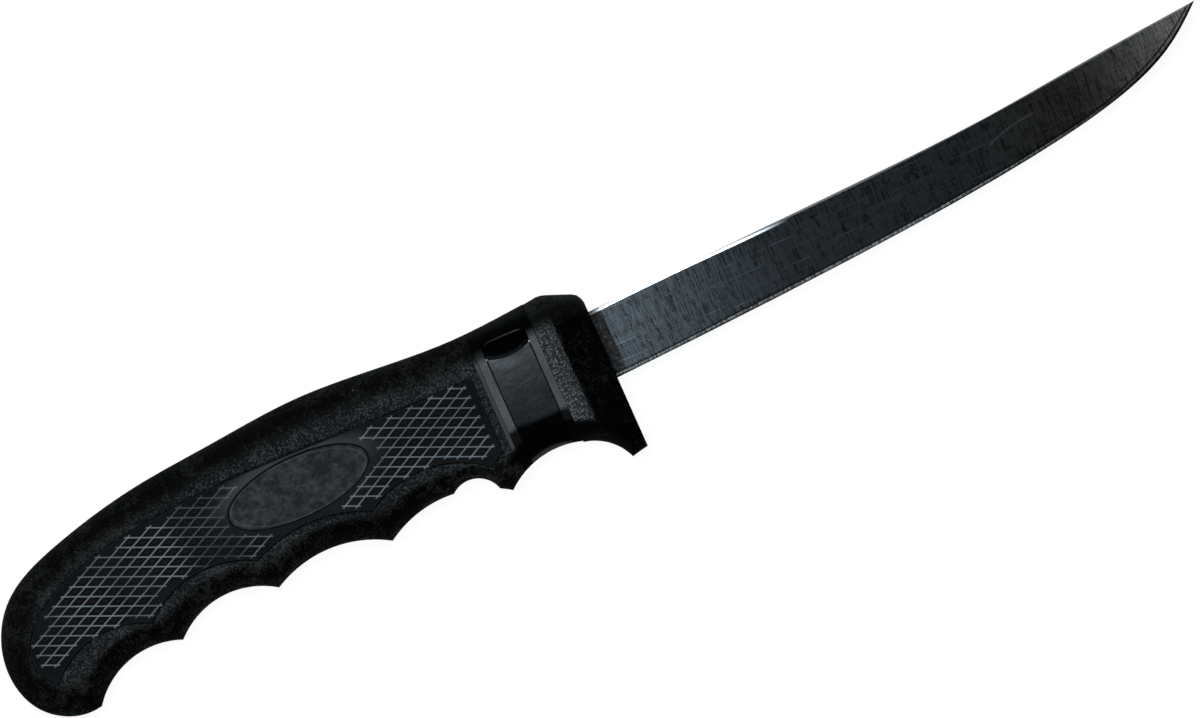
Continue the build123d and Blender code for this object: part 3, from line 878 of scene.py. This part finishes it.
# seams: a groove with a low lip inside it, along every rim of a side panel's face; the groove is painted dark
# as shade and the lip pale as a highlight
seamLook = {
    # steps inwards from the rim and heights over the panel's face in millimetres, each with its share of
    # painted highlight
    "profile": [(0.0, 0.012, 0.0), (0.22, 0.012, 0.0), (0.27, 0.040, 1.0), (0.38, 0.045, 1.0),
                (0.46, 0.006, 0.3)],
    "bed": 0.06,  # how deep the piece is bedded in the panel
    "closest": 0.05,  # points of a rim that are closer than this count as one
    "fewest": 12,  # rims with fewer points are no seams
    # colours of the lip, painted pale as a highlight, and of the groove
    "lip": 0.030,
    "groove": 0.0005,
    "roughness": 0.5,
    "specular": 0.16,
    "crumbScale": 2600,
    "reliefDepth": 0.01 * mm,
    "shadeLevel": 0.0004,
}


def rimLoops(mesh, level, sign):
    # the closed rims of the faces that lie in one level, each as a list of point numbers
    flat = facesInPlane(mesh, 2, level, sign)
    follow = dict(openSides([list(face.vertices) for face in flat]))
    loops = []
    while follow:
        start, here = follow.popitem()
        loop = [start]
        while here != start and here in follow:
            loop.append(here)
            here = follow.pop(here)
        loops.append(loop)
    return loops


def seamMesh(name, source, level, sign):
    look = seamLook
    inmost = look["profile"][-1][0]
    rows = look["profile"] + [(inmost, -look["bed"], 0.0), (0.0, -look["bed"], 0.0)]
    width = len(rows)
    points, pale, faces = [], [], []
    for loop in rimLoops(source, level, sign):
        ring = []
        for k in loop:
            place = source.vertices[k].co.to_2d()
            if not ring or (place - ring[-1]).length > look["closest"] * mm:
                ring.append(place)
        count = len(ring)
        if count < look["fewest"]:
            continue
        base = len(points)
        for n, place in enumerate(ring):
            before = (place - ring[n - 1]).normalized()
            after = (ring[(n + 1) % count] - place).normalized()
            along = (before + after).normalized()
            inward = Vector((-along.y, along.x)) * sign
            # the third value of a row is its share of painted highlight
            for step, height, shade in rows:
                spot = place + inward * (step * mm)
                points.append((spot.x, spot.y, level + sign * height * mm))
                pale.append(shade)
        for n in range(count):
            here, there = base + n * width, base + (n + 1) % count * width
            for k in range(width):
                q = (k + 1) % width
                faces.append([here + k, here + q, there + q, there + k])
    mesh = newMesh(name, points, faces)
    paint(mesh, "lipHighlight", pale)
    return mesh


def seamRubber(name, look):
    finish = Finish(name)
    # painted highlight on the lip, painted shade in the groove
    shown = finish.painted("lipHighlight")
    crumb = finish.noise(look["crumbScale"], 3.0, 0.6)
    share = (shown * (0.35 + crumb)).least(1.0)
    colour = finish.mix(share, grey(look["groove"]), grey(look["lip"], coolTint))
    finish.set(colour=colour, roughness=look["roughness"] + crumb * 0.1, specular=look["specular"],
               normal=finish.bump(crumb, look["reliefDepth"]))
    return finish.shade((1 - shown) * 0.9, look["shadeLevel"])


seamFinish = seamRubber("seamRubber", seamLook)
for hand in ("right", "left"):
    name = f"panel_seam_{hand}"
    addPiece(name, seamMesh(name, nodes[f"side_panel_{hand}"].data, *panelFace(hand)), seamFinish)


# thin dark sheets close the running gaps at the neck's two ends, so that no light shows through them; they
# stand in for the shade inside the gaps
gapLook = {
    "gap": 0.1 * mm,
    "spare": 0.002 * mm,  # the sheet stays this far from either side
}


def gapMesh(name, plane, way):
    # a dark sheet on the end faces of the core's two halves, which lie in the plane and look the given way
    near = gapLook["spare"] * way
    far = (gapLook["gap"] - gapLook["spare"]) * way
    points, faces = [], []
    for node in ("core_right", "core_left"):
        source = nodes[node].data
        rings = [list(face.vertices) for face in facesInPlane(source, 0, plane, way)]
        number = {}
        for ring in rings:
            for k in ring:
                number.setdefault(k, len(points) + len(number))
        count = len(number)
        places = [source.vertices[k].co for k in number]
        points += [(p.x + shift, p.y, p.z) for shift in (near, far) for p in places]
        for ring in rings:
            outer = [number[k] for k in ring]
            faces += [[k + count for k in outer], outer[::-1]]
        faces += [[number[a], number[b], number[b] + count, number[a] + count] for a, b in openSides(rings)]
    return newMesh(name, points, faces)


for name, plane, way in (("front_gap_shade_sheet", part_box("guard")[0].x - gapLook["gap"], 1),
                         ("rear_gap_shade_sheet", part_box("grip")[1].x + gapLook["gap"], -1)):
    addPiece(name, gapMesh(name, plane, way), seamFinish)


# floor, light and camera
stageLook = {
    "floor": 0.28,
    "floorHalf": 3.0,
    "floorDrop": 0.05 * mm,  # how far the floor lies below the knife
    "lift": 0.93,  # how much lighter the camera sees the floor, so that it comes out white
    "world": 0.035,
}
lampLooks = {
    # radiance, middle, size and tint of each softbox; all hang level
    "keySoftbox": (9.0, (-0.050, 0.140, 1.02), (0.18, 0.32), (0.86, 1.0, 1.11)),
    "sideSoftbox": (3.8, (-0.250, 0.140, 1.02), (0.22, 0.32), (0.86, 1.0, 1.11)),
    "wideSoftbox": (0.80, (-0.05, 0.12, 1.06), (0.8, 0.6), (0.93, 1.0, 1.06)),
    "tipSoftbox": (6.0, (0.210, 0.015, 1.02), (0.05, 0.16), (0.95, 1.0, 1.05)),
}
cameraLook = {
    "aim": (-1.9 * mm, 2.88 * mm),
    "distance": 3.0,
    "frameWidth": 268.9 * mm,  # what the picture takes in at the knife
    "roll": 24.0,
    "sensor": 36.0,
    "clip": (0.01, 20.0),
}


def makeFloor(look):
    finish = Finish("paleFloor")
    finish.set(colour=grey(look["floor"]), roughness=0.9, specular=0.0)
    seen = finish.node("LightPath", out=0)
    glow = finish.node("Emission", inputs={0: (1.0, 1.0, 1.0), 1: seen * look["lift"]})
    finish.show(finish.node("AddShader", inputs={0: finish.bodyWire(), 1: glow}))
    half, drop = look["floorHalf"], look["floorDrop"]
    corners = [(-half, -half, -drop), (half, -half, -drop), (half, half, -drop), (-half, half, -drop)]
    mesh = newMesh("floor", corners, [(0, 1, 2, 3)])
    mesh.materials.append(finish.material)
    floor = bpy.data.objects.new("floor", mesh)
    bpy.context.scene.collection.objects.link(floor)


def makeWorld(level):
    world = bpy.data.worlds.new("softRoom")
    world.use_nodes = True
    background = world.node_tree.nodes["Background"]
    background.inputs[0].default_value = (1.0, 1.0, 1.0, 1.0)
    background.inputs[1].default_value = level
    bpy.context.scene.world = world


def makeLamp(name, radiance, centre, size, tint):
    lamp = bpy.data.lights.new(name, "AREA")
    lamp.shape = "RECTANGLE"
    lamp.size, lamp.size_y = size
    lamp.energy = radiance * math.pi * size[0] * size[1]
    lamp.color = tint
    holder = bpy.data.objects.new(name, lamp)
    holder.location = centre
    bpy.context.scene.collection.objects.link(holder)


def makeCamera(look):
    # looks straight down on the knife, turned about its own line of sight
    lens = bpy.data.cameras.new("camera")
    lens.sensor_width = look["sensor"]
    lens.lens = look["sensor"] * look["distance"] / look["frameWidth"]
    lens.clip_start, lens.clip_end = look["clip"]
    camera = bpy.data.objects.new("camera", lens)
    turn = math.radians(look["roll"])
    aimX, aimY = look["aim"]
    camera.matrix_world = Matrix((
        (math.cos(turn), math.sin(turn), 0, aimX),
        (-math.sin(turn), math.cos(turn), 0, aimY),
        (0, 0, 1, gripMiddle.z + look["distance"]),
        (0, 0, 0, 1),
    ))
    bpy.context.scene.collection.objects.link(camera)
    bpy.context.scene.camera = camera


makeFloor(stageLook)
makeWorld(stageLook["world"])
for name, values in lampLooks.items():
    makeLamp(name, *values)
makeCamera(cameraLook)
bpy.context.scene.view_settings.view_transform = "Standard"
print("stage set")
